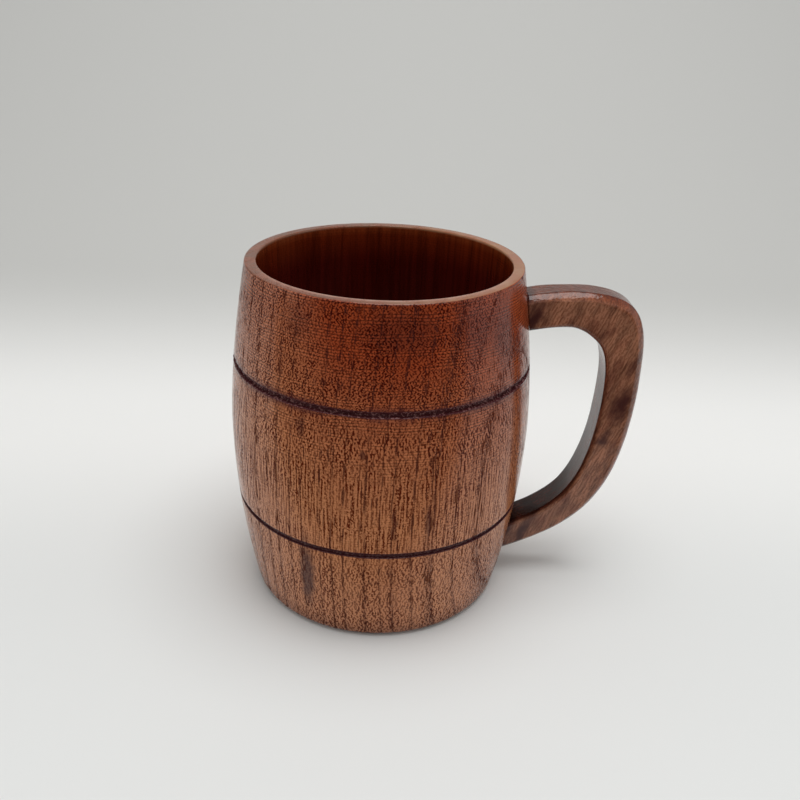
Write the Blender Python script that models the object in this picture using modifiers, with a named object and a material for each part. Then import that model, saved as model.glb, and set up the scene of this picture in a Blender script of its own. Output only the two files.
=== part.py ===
"""A barrel-shaped wooden cup with a sawn handle, in metres, standing on z = 0 with its axis on Z.

The cup is turned from one block of wood. The handle is sawn from a board, coped at both ends to the
barrel, and held by two dowels that stay hidden in the joints.
"""

import math

import bmesh
import bpy

# Barrel: radii are measured from the cup's axis, heights from the table.
CUP_HEIGHT = 0.105
RIM_RADIUS = 0.040
BELLY_SWELL = 0.0054  # how far the belly stands out past the rim
BELLY_HEIGHT = 0.056
FOOT_TAPER = 0.0011  # how far the foot draws in from the rim's radius
UPPER_CURVE = 1.63  # below 2 the side runs straighter towards the rim than a parabola
LOWER_CURVE = 2.0
FOOT_ROUND = 0.003
LIP_OUTER_ROUND = 0.0005
LIP_INNER_ROUND = 0.0005

# Hollow
LIP_WALL = 0.0033
BORE_TAPER = 0.001  # how far the bore narrows from the lip to the floor
FLOOR_THICKNESS = 0.009
FLOOR_ROUND = 0.006

# Turned grooves
UPPER_GROOVE_DROP = 0.0286  # below the rim
LOWER_GROOVE_RISE = 0.0328  # above the table
GROOVE_WIDTH = 0.0015
GROOVE_DEPTH = 0.0010

# Handle, in the plane y = 0 on the +X side
HANDLE_THICKNESS = 0.012
ARRIS_RADIUS = 0.002
HANDLE_DROP = 0.007  # from the rim down to the top of the upper arm
UPPER_ARM_DEPTH = 0.0107
ARM_RISE = 0.0026  # from the upper arm's root to its crest
CREST_REACH = 0.0095  # from the belly out to the crest
FINGER_GAP = 0.0217  # from the belly to the inside of the grip
GRIP_WIDTH = 0.0109
GRIP_DROP = 0.0298  # from the top of the handle to the grip's farthest point
SHOULDER_IN = 0.0045
SHOULDER_DOWN = 0.005
CORNER_IN = 0.0035
CORNER_DOWN = 0.0048
BEND_HEIGHT = 0.0283
BEND_IN = 0.0088
BEND_INNER_HEIGHT = 0.0315
BEND_INNER_IN = 0.0081
HANDLE_RISE = 0.007  # from the table to the lower arm's root
LOWER_ARM_DEPTH = 0.0104

# Headings of the handle's outline in its plane, in degrees above +X
UPPER_ROOT_SLOPE = 14
SHOULDER_SLOPE = -49
BEND_SLOPE = -122
LOWER_ROOT_SLOPE = 18
BEND_INNER_SLOPE = 55
CORNER_SLOPE = 133

# Dowels and fits
DOWEL_RADIUS = 0.0025
DOWEL_IN_BODY = 0.004
DOWEL_IN_HANDLE = 0.007
DOWEL_CHAMFER = 0.0005
LOWER_DOWEL_LIFT = 0.0035  # the lower arm climbs outwards, so its dowel sits above the root's middle
DOWEL_CLEARANCE = 0.0002
JOINT_GAP = 0.0003
COPING_ALLOWANCE = 0.004  # how far the handle's roots run into the barrel before they are coped

# Fineness of the round shapes
RING_STEPS = 64
SIDE_STEPS = 6
ARC_STEPS = 3
OUTLINE_STEPS = 10
ARRIS_STEPS = 2
DOWEL_SIDES = 24
EASE = 0.31  # length of an outline point's handles, as a share of the distance to its neighbour
WELD = 0.00001
SHARP_ANGLE = 40  # in degrees, edges that turn more than this stay crisp

BELLY_RADIUS = RIM_RADIUS + BELLY_SWELL
FOOT_RADIUS = RIM_RADIUS - FOOT_TAPER
BORE_RADIUS = RIM_RADIUS - LIP_WALL
FLOOR_RADIUS = BORE_RADIUS - BORE_TAPER
UPPER_GROOVE = CUP_HEIGHT - UPPER_GROOVE_DROP
LOWER_GROOVE = LOWER_GROOVE_RISE
HANDLE_TOP = CUP_HEIGHT - HANDLE_DROP
UPPER_DOWEL = HANDLE_TOP - (ARM_RISE + UPPER_ARM_DEPTH) / 2
LOWER_DOWEL = HANDLE_RISE + LOWER_ARM_DEPTH / 2 + LOWER_DOWEL_LIFT


def clear_scene():
    for obj in list(bpy.data.objects):
        bpy.data.objects.remove(obj)


def new_collection(name):
    collection = bpy.data.collections.new(name)
    bpy.context.scene.collection.children.link(collection)
    return collection


def wood(name, colour, roughness):
    material = bpy.data.materials.new(name)
    material.use_nodes = True
    shader = material.node_tree.nodes["Principled BSDF"]
    shader.inputs["Base Color"].default_value = (*colour, 1)
    shader.inputs["Roughness"].default_value = roughness
    shader.inputs["Metallic"].default_value = 0
    return material


def barrel_radius(height):
    """Outer radius of the barrel, which swells from the foot to the belly and draws in to the rim."""
    if height >= BELLY_HEIGHT:
        share = (height - BELLY_HEIGHT) / (CUP_HEIGHT - BELLY_HEIGHT)
        return BELLY_RADIUS - (BELLY_RADIUS - RIM_RADIUS) * share**UPPER_CURVE
    share = (BELLY_HEIGHT - height) / BELLY_HEIGHT
    return BELLY_RADIUS - (BELLY_RADIUS - FOOT_RADIUS) * share**LOWER_CURVE


def arc(centre, radius, start, end, steps=ARC_STEPS):
    """Points (r, z) on an arc, with its angles in degrees from the outward direction."""
    points = []
    for step in range(steps + 1):
        angle = math.radians(start + (end - start) * step / steps)
        points.append((centre[0] + radius * math.cos(angle), centre[1] + radius * math.sin(angle)))
    return points


def side(top, bottom):
    """Points (r, z) down the barrel's side, both ends included."""
    heights = [top + (bottom - top) * step / SIDE_STEPS for step in range(SIDE_STEPS + 1)]
    return [(barrel_radius(height), height) for height in heights]


def groove(height):
    """Points (r, z) of a round-bottomed groove cut square to the barrel's side."""
    points = []
    for step in range(1, 2 * ARC_STEPS):
        angle = math.pi * step / (2 * ARC_STEPS)
        place = height + GROOVE_WIDTH / 2 * math.cos(angle)
        points.append((barrel_radius(place) - GROOVE_DEPTH * math.sin(angle), place))
    return points


def cup_profile():
    """The turned section: out over the hollow's floor, up the bore, over the lip and down the side."""
    half = GROOVE_WIDTH / 2
    lip_outer = (RIM_RADIUS - LIP_OUTER_ROUND, CUP_HEIGHT - LIP_OUTER_ROUND)
    lip_inner = (BORE_RADIUS + LIP_INNER_ROUND, CUP_HEIGHT - LIP_INNER_ROUND)
    foot = (barrel_radius(FOOT_ROUND) - FOOT_ROUND, FOOT_ROUND)
    floor = (FLOOR_RADIUS - FLOOR_ROUND, FLOOR_THICKNESS + FLOOR_ROUND)
    profile = [(0, FLOOR_THICKNESS)]
    profile += arc(floor, FLOOR_ROUND, -90, 0)
    profile += arc(lip_inner, LIP_INNER_ROUND, 180, 90)
    profile += arc(lip_outer, LIP_OUTER_ROUND, 90, 0)[:-1]
    profile += side(CUP_HEIGHT - LIP_OUTER_ROUND, UPPER_GROOVE + half)
    profile += groove(UPPER_GROOVE)
    profile += side(UPPER_GROOVE - half, LOWER_GROOVE + half)
    profile += groove(LOWER_GROOVE)
    profile += side(LOWER_GROOVE - half, FOOT_ROUND)
    profile += arc(foot, FOOT_ROUND, 0, -90)[1:]
    profile.append((0, 0))
    return profile


def turned(name, profile, collection):
    """A solid of revolution about Z from a list of (r, z)."""
    mesh = bpy.data.meshes.new(name)
    points = [(radius, 0, height) for radius, height in profile]
    mesh.from_pydata(points, [(i, i + 1) for i in range(len(points) - 1)], [])
    obj = bpy.data.objects.new(name, mesh)
    collection.objects.link(obj)
    screw = obj.modifiers.new("turning", "SCREW")
    screw.axis = "Z"
    screw.angle = 2 * math.pi
    screw.steps = RING_STEPS
    screw.render_steps = RING_STEPS
    screw.use_merge_vertices = True
    screw.merge_threshold = WELD
    screw.use_smooth_shade = True
    return obj


def as_helper(obj):
    obj.hide_render = True
    obj.display_type = "WIRE"
    return obj


def cut(obj, cutter, name):
    boolean = obj.modifiers.new(name, "BOOLEAN")
    boolean.operation = "DIFFERENCE"
    boolean.solver = "EXACT"
    boolean.object = cutter


def barrel_cutter(collection):
    """The barrel's outside, larger by the joint's gap and taller than the cup, to cope the handle."""
    whole_side = side(CUP_HEIGHT, BELLY_HEIGHT) + side(BELLY_HEIGHT, 0)[1:]
    wider = [(radius + JOINT_GAP, height) for radius, height in whole_side]
    top = CUP_HEIGHT + COPING_ALLOWANCE
    bottom = -COPING_ALLOWANCE
    profile = [(0, top), (wider[0][0], top), *wider, (wider[-1][0], bottom), (0, bottom)]
    return as_helper(turned("barrel_cutter", profile, collection))


def rod(name, radius, inner_end, outer_end, height, collection):
    """A round rod along X between two distances from the cup's axis."""
    mesh = bpy.data.meshes.new(name)
    shape = bmesh.new()
    length = outer_end - inner_end
    bmesh.ops.create_cone(
        shape, cap_ends=True, segments=DOWEL_SIDES, radius1=radius, radius2=radius, depth=length
    )
    shape.to_mesh(mesh)
    shape.free()
    obj = bpy.data.objects.new(name, mesh)
    obj.location = ((inner_end + outer_end) / 2, 0, height)
    obj.rotation_euler = (0, math.pi / 2, 0)
    collection.objects.link(obj)
    return obj


def dowel(name, height, collection):
    """A chamfered dowel that bridges the joint, short of both holes' ends by the joint's gap."""
    face = barrel_radius(height)
    inner_end = face - DOWEL_IN_BODY + JOINT_GAP
    outer_end = face + DOWEL_IN_HANDLE - JOINT_GAP
    obj = rod(name, DOWEL_RADIUS, inner_end, outer_end, height, collection)
    obj.data.shade_smooth()
    obj.data.set_sharp_from_angle(angle=math.radians(SHARP_ANGLE))
    chamfer = obj.modifiers.new("chamfer", "BEVEL")
    chamfer.width = DOWEL_CHAMFER
    chamfer.segments = 1
    chamfer.limit_method = "ANGLE"
    chamfer.angle_limit = math.radians(SHARP_ANGLE)
    return obj


def dowel_hole(name, height, collection):
    face = barrel_radius(height)
    hole_radius = DOWEL_RADIUS + DOWEL_CLEARANCE
    hole = rod(name, hole_radius, face - DOWEL_IN_BODY, face + DOWEL_IN_HANDLE, height, collection)
    return as_helper(hole)


def handle_outline():
    """The sawn outline as (x, z, heading in degrees), once round from the upper arm's root.

    Both roots start inside the barrel, so that coping leaves them with full faces.
    """
    grip_inner = BELLY_RADIUS + FINGER_GAP
    grip_outer = grip_inner + GRIP_WIDTH
    crest = BELLY_RADIUS + CREST_REACH
    under_arm = HANDLE_TOP - UPPER_ARM_DEPTH
    upper_root = barrel_radius(HANDLE_TOP) - COPING_ALLOWANCE
    lower_root = barrel_radius(HANDLE_RISE) - COPING_ALLOWANCE
    grip_height = HANDLE_TOP - GRIP_DROP
    return [
        (upper_root, HANDLE_TOP - ARM_RISE, UPPER_ROOT_SLOPE),
        (crest, HANDLE_TOP, 0),
        (grip_outer - SHOULDER_IN, HANDLE_TOP - SHOULDER_DOWN, SHOULDER_SLOPE),
        (grip_outer, grip_height, -90),
        (grip_outer - BEND_IN, BEND_HEIGHT, BEND_SLOPE),
        (lower_root, HANDLE_RISE, LOWER_ROOT_SLOPE - 180),
        (lower_root, HANDLE_RISE + LOWER_ARM_DEPTH, LOWER_ROOT_SLOPE),
        (grip_inner - BEND_INNER_IN, BEND_INNER_HEIGHT, BEND_INNER_SLOPE),
        (grip_inner, grip_height, 90),
        (grip_inner - CORNER_IN, under_arm - CORNER_DOWN, CORNER_SLOPE),
        (crest, under_arm, 180),
        (upper_root, under_arm - ARM_RISE, UPPER_ROOT_SLOPE + 180),
    ]


def curve_handle(point, neighbour, sense):
    """The end of an outline point's handle on the side of a neighbour, ahead for a sense of 1.

    It follows the point's heading, but a root's end runs straight down, as the saw cuts it.
    """
    x, z, heading = point
    if neighbour[0] == x:
        return (x, z + EASE * (neighbour[1] - z), 0)
    reach = sense * EASE * math.hypot(neighbour[0] - x, neighbour[1] - z)
    turn = math.radians(heading)
    return (x + reach * math.cos(turn), z + reach * math.sin(turn), 0)


def sawn_curve(name, outline, collection):
    """A filled 2D curve standing in the plane y = 0, with rounded arrises inside its outline."""
    curve = bpy.data.curves.new(name, "CURVE")
    curve.dimensions = "2D"
    curve.fill_mode = "BOTH"
    curve.extrude = HANDLE_THICKNESS / 2 - ARRIS_RADIUS
    curve.bevel_depth = ARRIS_RADIUS
    curve.bevel_resolution = ARRIS_STEPS
    curve.offset = -ARRIS_RADIUS
    curve.resolution_u = OUTLINE_STEPS
    spline = curve.splines.new("BEZIER")
    spline.use_cyclic_u = True
    spline.bezier_points.add(len(outline) - 1)
    for index, point in enumerate(outline):
        knot = spline.bezier_points[index]
        knot.handle_left_type = "FREE"
        knot.handle_right_type = "FREE"
        knot.co = (point[0], point[1], 0)
        knot.handle_left = curve_handle(point, outline[index - 1], -1)
        knot.handle_right = curve_handle(point, outline[(index + 1) % len(outline)], 1)
    obj = bpy.data.objects.new(name, curve)
    obj.rotation_euler = (math.pi / 2, 0, 0)
    collection.objects.link(obj)
    return obj


def as_mesh(curve_object, name, collection):
    """The curve as a welded mesh in the same place. The curve is removed."""
    bpy.context.view_layer.update()
    graph = bpy.context.evaluated_depsgraph_get()
    mesh = bpy.data.meshes.new_from_object(curve_object.evaluated_get(graph))
    shape = bmesh.new()
    shape.from_mesh(mesh)
    bmesh.ops.remove_doubles(shape, verts=shape.verts, dist=WELD)
    shape.to_mesh(mesh)
    shape.free()
    mesh.name = name
    place = curve_object.matrix_world.copy()
    bpy.data.objects.remove(curve_object)
    obj = bpy.data.objects.new(name, mesh)
    obj.matrix_world = place
    collection.objects.link(obj)
    return obj


def make_body(parts, holes):
    body = turned("cup_body", cup_profile(), parts)
    for hole in holes:
        cut(body, hole, hole.name)
    body.data.materials.append(wood("lacquered_barrel_wood", (0.19, 0.062, 0.026), 0.28))
    return body


def make_handle(parts, barrel, holes):
    handle = as_mesh(sawn_curve("handle_outline", handle_outline(), parts), "handle", parts)
    handle.data.shade_smooth()
    cut(handle, barrel, "coping")
    for hole in holes:
        cut(handle, hole, hole.name)
    handle.data.materials.clear()
    handle.data.materials.append(wood("lacquered_handle_wood", (0.16, 0.061, 0.028), 0.3))
    return handle


def make_dowels(parts):
    pale = wood("bare_dowel_wood", (0.52, 0.36, 0.2), 0.6)
    for name, height in (("upper_dowel", UPPER_DOWEL), ("lower_dowel", LOWER_DOWEL)):
        dowel(name, height, parts).data.materials.append(pale)


clear_scene()
cup_parts = new_collection("wooden_cup")
cup_cutters = new_collection("wooden_cup_cutters")
dowel_holes = [
    dowel_hole("upper_dowel_hole", UPPER_DOWEL, cup_cutters),
    dowel_hole("lower_dowel_hole", LOWER_DOWEL, cup_cutters),
]
make_body(cup_parts, dowel_holes)
make_handle(cup_parts, barrel_cutter(cup_cutters), dowel_holes)
make_dowels(cup_parts)
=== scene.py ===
import math

import bmesh
import bpy
from mathutils import Matrix, Vector, noise


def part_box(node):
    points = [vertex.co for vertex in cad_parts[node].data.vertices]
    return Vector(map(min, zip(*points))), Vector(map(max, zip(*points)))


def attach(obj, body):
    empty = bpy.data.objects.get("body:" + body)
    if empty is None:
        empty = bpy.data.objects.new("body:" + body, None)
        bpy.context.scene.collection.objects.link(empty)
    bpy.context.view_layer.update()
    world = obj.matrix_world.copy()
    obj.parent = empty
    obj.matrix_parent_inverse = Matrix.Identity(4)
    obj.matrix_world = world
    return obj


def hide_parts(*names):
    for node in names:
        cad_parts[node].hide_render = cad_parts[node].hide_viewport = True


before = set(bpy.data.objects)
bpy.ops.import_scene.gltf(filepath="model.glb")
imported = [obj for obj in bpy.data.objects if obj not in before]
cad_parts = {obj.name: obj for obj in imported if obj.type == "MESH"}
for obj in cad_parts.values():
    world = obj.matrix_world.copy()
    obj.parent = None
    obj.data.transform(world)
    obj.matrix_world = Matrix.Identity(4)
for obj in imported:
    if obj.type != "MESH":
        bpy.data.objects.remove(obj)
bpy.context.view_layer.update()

# Cup body: one block of open-pored hardwood, turned and hollowed on a lathe with its floor left in.
# Two grooves are cut with the point of the tool, and the whole is stained red-brown and lacquered.
body_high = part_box("cup_body")[1]
CUP_HEIGHT = body_high.z
BELLY_RADIUS = body_high.x
BELLY_HEIGHT = 0.056
RIM_RADIUS = 0.040
FOOT_RADIUS = 0.0389
UPPER_CURVE = 1.63
LOWER_CURVE = 2.0
FOOT_ROUND = 0.003
LIP_WALL = 0.0033
LIP_OUTER_ROUND = 0.0005
LIP_INNER_ROUND = 0.0005
BORE_RADIUS = RIM_RADIUS - LIP_WALL
BORE_TAPER = 0.001
FLOOR_THICKNESS = 0.009
FLOOR_ROUND = 0.006
UPPER_GROOVE = CUP_HEIGHT - 0.0286
LOWER_GROOVE = 0.0328
GROOVE_WIDTH = 0.0015
GROOVE_DEPTH = 0.0010
GROOVE_FULLNESS = 0.7
GROOVE_STEPS = 14
UPPER_TEARING = 1
LOWER_TEARING = 0.35
TORN_EDGE = 0.0003
SECTION_STEP = 0.002
CLOSE_RINGS = (0.0001, 0.0004)
ROUND_STEPS = 8
LIP_INNER_STEPS = 7
LIP_EDGE_STEPS = 4


def barrel_radius(height):
    """Outer radius of the barrel, which swells from the foot to the belly and draws in to the rim."""
    if height >= BELLY_HEIGHT:
        share = (height - BELLY_HEIGHT) / (CUP_HEIGHT - BELLY_HEIGHT)
        return BELLY_RADIUS - (BELLY_RADIUS - RIM_RADIUS) * share**UPPER_CURVE
    share = (BELLY_HEIGHT - height) / BELLY_HEIGHT
    return BELLY_RADIUS - (BELLY_RADIUS - FOOT_RADIUS) * share**LOWER_CURVE


def side_slope(height, reach=0.0001):
    """The angle in degrees by which the barrel's side leans in at a height, above the belly or below."""
    change = barrel_radius(height + reach) - barrel_radius(height - reach)
    return math.degrees(math.atan2(abs(change), 2 * reach))


def arc(centre, radius, start, end, steps):
    """Points (r, z) on an arc, with its angles in degrees from the outward direction."""
    angles = [math.radians(start + (end - start) * step / steps) for step in range(steps + 1)]
    return [(centre[0] + radius * math.cos(a), centre[1] + radius * math.sin(a)) for a in angles]


def straight(first, last):
    """Points (r, z) between two ends, both left out, with one more close to the last."""
    length = math.dist(first, last)
    steps = max(2, round(length / SECTION_STEP / 2))
    shares = [step / steps for step in range(1, steps)] + [1 - CLOSE_RINGS[1] / length]
    return [tuple(a + (b - a) * share for a, b in zip(first, last)) for share in shares]


def side(top, bottom):
    """Points (r, z) down the barrel's side, both ends included, with close rings at the ends."""
    steps = round((top - bottom) / SECTION_STEP)
    heights = [top + (bottom - top) * step / steps for step in range(steps + 1)]
    heights += [top - gap for gap in CLOSE_RINGS] + [bottom + gap for gap in CLOSE_RINGS]
    return [(barrel_radius(height), height) for height in sorted(heights, reverse=True)]


def groove(height):
    """Points (r, z) of a round-bottomed groove, both edges included."""
    points = []
    for step in range(GROOVE_STEPS + 1):
        angle = math.pi * step / GROOVE_STEPS
        place = height + GROOVE_WIDTH / 2 * math.cos(angle)
        cut = GROOVE_DEPTH * math.sin(angle) ** GROOVE_FULLNESS
        points.append((barrel_radius(place) - cut, place))
    return points


def cup_section():
    """The turned section from the hollow's floor over the lip to the base, in runs with their marks."""
    half = GROOVE_WIDTH / 2 + TORN_EDGE
    floor_centre = (BORE_RADIUS - BORE_TAPER - FLOOR_ROUND, FLOOR_THICKNESS + FLOOR_ROUND)
    floor_arc = arc(floor_centre, FLOOR_ROUND, -90, 0, ROUND_STEPS)
    lean = side_slope(CUP_HEIGHT - LIP_OUTER_ROUND)
    tuck = side_slope(FOOT_ROUND)
    lip_end = CUP_HEIGHT - LIP_OUTER_ROUND * (1 - math.sin(math.radians(lean)))
    foot_end = FOOT_ROUND * (1 - math.sin(math.radians(tuck)))
    lip_inner = (BORE_RADIUS + LIP_INNER_ROUND, CUP_HEIGHT - LIP_INNER_ROUND)
    lip_outer = (
        barrel_radius(lip_end) - LIP_OUTER_ROUND * math.cos(math.radians(lean)),
        CUP_HEIGHT - LIP_OUTER_ROUND,
    )
    lip_edge = arc(lip_outer, LIP_OUTER_ROUND, 90, lean, ROUND_STEPS)[:-1]
    lip = arc(lip_inner, LIP_INNER_ROUND, 180, 90, LIP_INNER_STEPS) + lip_edge[:LIP_EDGE_STEPS]
    foot_centre = (barrel_radius(foot_end) - FOOT_ROUND * math.cos(math.radians(tuck)), FOOT_ROUND)
    foot = arc(foot_centre, FOOT_ROUND, -tuck, -90, ROUND_STEPS)[1:]
    hollow = [(0, FLOOR_THICKNESS), *straight((0, FLOOR_THICKNESS), floor_arc[0]), *floor_arc]
    hollow += straight(floor_arc[-1], lip[0])
    return [
        (hollow, {"bored": 1}),
        (lip, {"lip": 1}),
        (lip_edge[LIP_EDGE_STEPS:] + side(lip_end, UPPER_GROOVE + half), {}),
        (groove(UPPER_GROOVE), {"torn": UPPER_TEARING}),
        (side(UPPER_GROOVE - half, LOWER_GROOVE + half), {}),
        (groove(LOWER_GROOVE), {"torn": LOWER_TEARING}),
        (side(LOWER_GROOVE - half, foot_end), {}),
        (foot + straight(foot[-1], (0, 0)) + [(0, 0)], {}),
    ]


def add_node(tree, kind, feeds, **settings):
    """A node in a tree, with its settings, and its inputs set to values or linked to sockets."""
    made = tree.nodes.new(kind)
    for name, value in settings.items():
        setattr(made, name, value)
    for socket, feed in feeds.items():
        if isinstance(feed, bpy.types.NodeSocket):
            tree.links.new(feed, made.inputs[socket])
        else:
            made.inputs[socket].default_value = feed
    return made


HUB_RADIUS = 0.01
SEAM_GAP = 1e-6
STEPS_ROUND = 560
TEAR_DEPTH = 0.0010
TEARS_PER_METRE = 1000.0
TEAR_SEED = 3.0
NOISE_MIDDLE = (0.5, 0.5, 0.5)


def turning_tree():
    """Sweeps a section once round the lathe's axis, and tears the wood where the section says so."""
    tree = bpy.data.node_groups.new("turning", "GeometryNodeTree")
    sizes = (
        ("Section", "NodeSocketGeometry"),
        ("Steps Round", "NodeSocketInt"),
        ("Tear Depth", "NodeSocketFloat"),
        ("Tears per Metre", "NodeSocketFloat"),
        ("Seed", "NodeSocketFloat"),
        ("Finish", "NodeSocketMaterial"),
    )
    for name, kind in sizes:
        tree.interface.new_socket(name, in_out="INPUT", socket_type=kind)
    tree.interface.new_socket("Turned", in_out="OUTPUT", socket_type="NodeSocketGeometry")
    given = add_node(tree, "NodeGroupInput", {}).outputs

    def step(kind, feeds, **settings):
        return add_node(tree, kind, feeds, **settings).outputs[0]

    section = step("GeometryNodeMeshToCurve", {"Mesh": given["Section"]})
    upright = {"Geometry": section, "Translation": (-HUB_RADIUS, 0, 0), "Rotation": (math.pi / 2, 0, 0)}
    section = step("GeometryNodeTransform", upright)
    hub = {"Resolution": given["Steps Round"], "Radius": HUB_RADIUS}
    circle = step("GeometryNodeCurvePrimitiveCircle", hub)
    circle = step("GeometryNodeSetCurveNormal", {"Curve": circle}, mode="Z_UP")
    swept = step("GeometryNodeCurveToMesh", {"Curve": circle, "Profile Curve": section})
    closed = step("GeometryNodeMergeByDistance", {"Geometry": swept, "Distance": SEAM_GAP})
    tears = {
        "Vector": step("GeometryNodeInputPosition", {}),
        "W": given["Seed"],
        "Scale": given["Tears per Metre"],
        "Detail": 2,
    }
    rough = add_node(tree, "ShaderNodeTexNoise", tears, noise_dimensions="4D").outputs["Color"]
    rough = step("ShaderNodeVectorMath", {0: rough, 1: NOISE_MIDDLE}, operation="SUBTRACT")
    torn = step("GeometryNodeInputNamedAttribute", {"Name": "torn"})
    depth = step("ShaderNodeMath", {0: torn, 1: given["Tear Depth"]}, operation="MULTIPLY")
    push = step("ShaderNodeVectorMath", {0: rough, "Scale": depth}, operation="SCALE")
    torn_mesh = step("GeometryNodeSetPosition", {"Geometry": closed, "Offset": push})
    smooth = step("GeometryNodeSetShadeSmooth", {"Geometry": torn_mesh})
    real = step("GeometryNodeRealizeInstances", {"Geometry": smooth})
    done = step("GeometryNodeSetMaterial", {"Geometry": real, "Material": given["Finish"]})
    add_node(tree, "NodeGroupOutput", {"Turned": done})
    return tree


def calc(tree, operation, *feeds):
    """One step of arithmetic on plain numbers."""
    return add_node(tree, "ShaderNodeMath", dict(enumerate(feeds)), operation=operation).outputs[0]


def times(tree, first, *others):
    """Numbers multiplied one after another."""
    for other in others:
        first = calc(tree, "MULTIPLY", first, other)
    return first


def vector(tree, operation, *feeds):
    """One step of arithmetic on places or directions."""
    made = add_node(tree, "ShaderNodeVectorMath", dict(enumerate(feeds)), operation=operation)
    return made.outputs["Value" if operation in ("LENGTH", "DOT_PRODUCT") else "Vector"]


def cloud(tree, place, per_metre, detail=2, roughness=0.5):
    """Soft noise from 0 to 1, so many clouds to the metre each way, with outputs Fac and Color."""
    spread = vector(tree, "MULTIPLY", place, per_metre)
    feeds = {"Vector": spread, "Scale": 1, "Detail": detail, "Roughness": roughness}
    return add_node(tree, "ShaderNodeTexNoise", feeds).outputs


def ease(tree, value, low, high, first=0, last=1):
    """Goes smoothly from first to last while the value goes from low to high."""
    feeds = {"Value": value, "From Min": low, "From Max": high, "To Min": first, "To Max": last}
    made = add_node(tree, "ShaderNodeMapRange", feeds, interpolation_type="SMOOTHSTEP")
    return made.outputs["Result"]


def blend(tree, share, first, second, mode="MIX"):
    """Lays a share of the second colour over the first."""
    feeds = {0: share, 6: first, 7: second}
    return add_node(tree, "ShaderNodeMix", feeds, data_type="RGBA", blend_type=mode).outputs[2]


def shade(tree, share, colour, tint):
    """Darkens a colour by a share of a tint."""
    return blend(tree, share, colour, tint, "MULTIPLY")


def between_values(tree, share, first, second):
    """Goes from a first number to a second."""
    return add_node(tree, "ShaderNodeMix", {0: share, 2: first, 3: second}).outputs[0]


def stops(tree, value, *pairs):
    """A smooth curve through (place, height) pairs, as a grey ramp."""
    made = add_node(tree, "ShaderNodeValToRGB", {"Fac": value})
    made.color_ramp.interpolation = "B_SPLINE"
    for index, (place, height) in enumerate(pairs):
        stop = made.color_ramp.elements[index] if index < 2 else made.color_ramp.elements.new(place)
        stop.position = place
        stop.color = (height, height, height, 1)
    return made.outputs[0]


DRIFTS = (35, 35, 4.2)
WEATHER_PER_METRE = 150
WEATHER_PUSH = 1.2
RING_TONES = ((0, 1), (1, 0.7), (0.06, 0.7), (0.17, 0.15), (0.6, 0.03), (0.92, 0.08))


def year_rings(tree, place, pith, ring_width, sway):
    """Year rings of a trunk that runs along the Z of a place, and the place as its fibres wander.

    The rings lie round the pith, a little uneven in width, and each is dark where it begins.
    """
    drift = vector(tree, "SUBTRACT", cloud(tree, place, DRIFTS)["Color"], NOISE_MIDDLE)
    drifted = vector(tree, "ADD", place, vector(tree, "MULTIPLY", drift, (sway, sway, 0)))
    from_pith = vector(tree, "MULTIPLY", vector(tree, "SUBTRACT", drifted, pith), (1, 1, 0))
    distance = vector(tree, "LENGTH", from_pith)
    years = {"W": distance, "Scale": WEATHER_PER_METRE, "Detail": 1}
    weather = add_node(tree, "ShaderNodeTexNoise", years, noise_dimensions="1D").outputs[0]
    age = calc(tree, "DIVIDE", distance, ring_width)
    season = calc(tree, "FRACT", calc(tree, "MULTIPLY_ADD", weather, WEATHER_PUSH, age))
    return stops(tree, season, *RING_TONES), drifted


PORE_EDGES = (-0.14, 0.22)
GRIT_EDGES = (0.2, 0.8)
VESSEL_EDGE = 0.09


def pores(tree, place, aside, grit, per_metre):
    """Fine pores, from 0 to 1, lying side by side along the aside direction, and roughened by a grit."""
    sides = [vector(tree, step, place, aside) for step in ("ADD", "SUBTRACT")]
    left, right = [cloud(tree, spot, per_metre, detail=0)["Fac"] for spot in sides]
    return ease(tree, calc(tree, "ADD", calc(tree, "SUBTRACT", left, right), grit), *PORE_EDGES)


def wood_grit(tree, place, per_metre, amount):
    """Short fibres that catch the stain unevenly, as a small push up or down."""
    speckle = cloud(tree, place, per_metre, detail=1, roughness=0.7)["Fac"]
    return ease(tree, speckle, *GRIT_EDGES, -amount, amount)


def vessels(tree, place, per_metre, rings, rarity, crowding):
    """Large pores, from 0 to 1, so many to the metre each way, that crowd where the rings are dark."""
    speckle = cloud(tree, place, per_metre, detail=0)["Fac"]
    low = calc(tree, "SUBTRACT", rarity, times(tree, rings, crowding))
    return ease(tree, speckle, low, calc(tree, "ADD", low, VESSEL_EDGE))


LACQUER_ROUGHNESS = 0.12
LACQUER_IOR = 1.45
FILM_FOLLOWS = 0.6


def lacquered(material, colour, rough, film_weight, height, depth):
    """Wood under clear lacquer: the colour and the bump belong to the wood, the coat to the lacquer."""
    tree = material.node_tree
    shader = tree.nodes["Principled BSDF"]
    for socket, strength in (("Normal", 1), ("Coat Normal", FILM_FOLLOWS)):
        feeds = {"Height": height, "Distance": depth, "Strength": strength}
        tree.links.new(add_node(tree, "ShaderNodeBump", feeds).outputs[0], shader.inputs[socket])
    tree.links.new(colour, shader.inputs["Base Color"])
    tree.links.new(rough, shader.inputs["Roughness"])
    tree.links.new(film_weight, shader.inputs["Coat Weight"])
    shader.inputs["Specular IOR Level"].default_value = 0.0
    shader.inputs["Coat Roughness"].default_value = LACQUER_ROUGHNESS
    shader.inputs["Coat IOR"].default_value = LACQUER_IOR


def new_finish(name):
    """A new material, with its tree of nodes and the place on the piece that it reads."""
    material = bpy.data.materials.new(name)
    material.use_nodes = True
    tree = material.node_tree
    return material, tree, add_node(tree, "ShaderNodeTexCoord", {}).outputs["Object"]


def apart(tree, place):
    """The X, Y and Z of a place."""
    return add_node(tree, "ShaderNodeSeparateXYZ", {"Vector": place}).outputs


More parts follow.
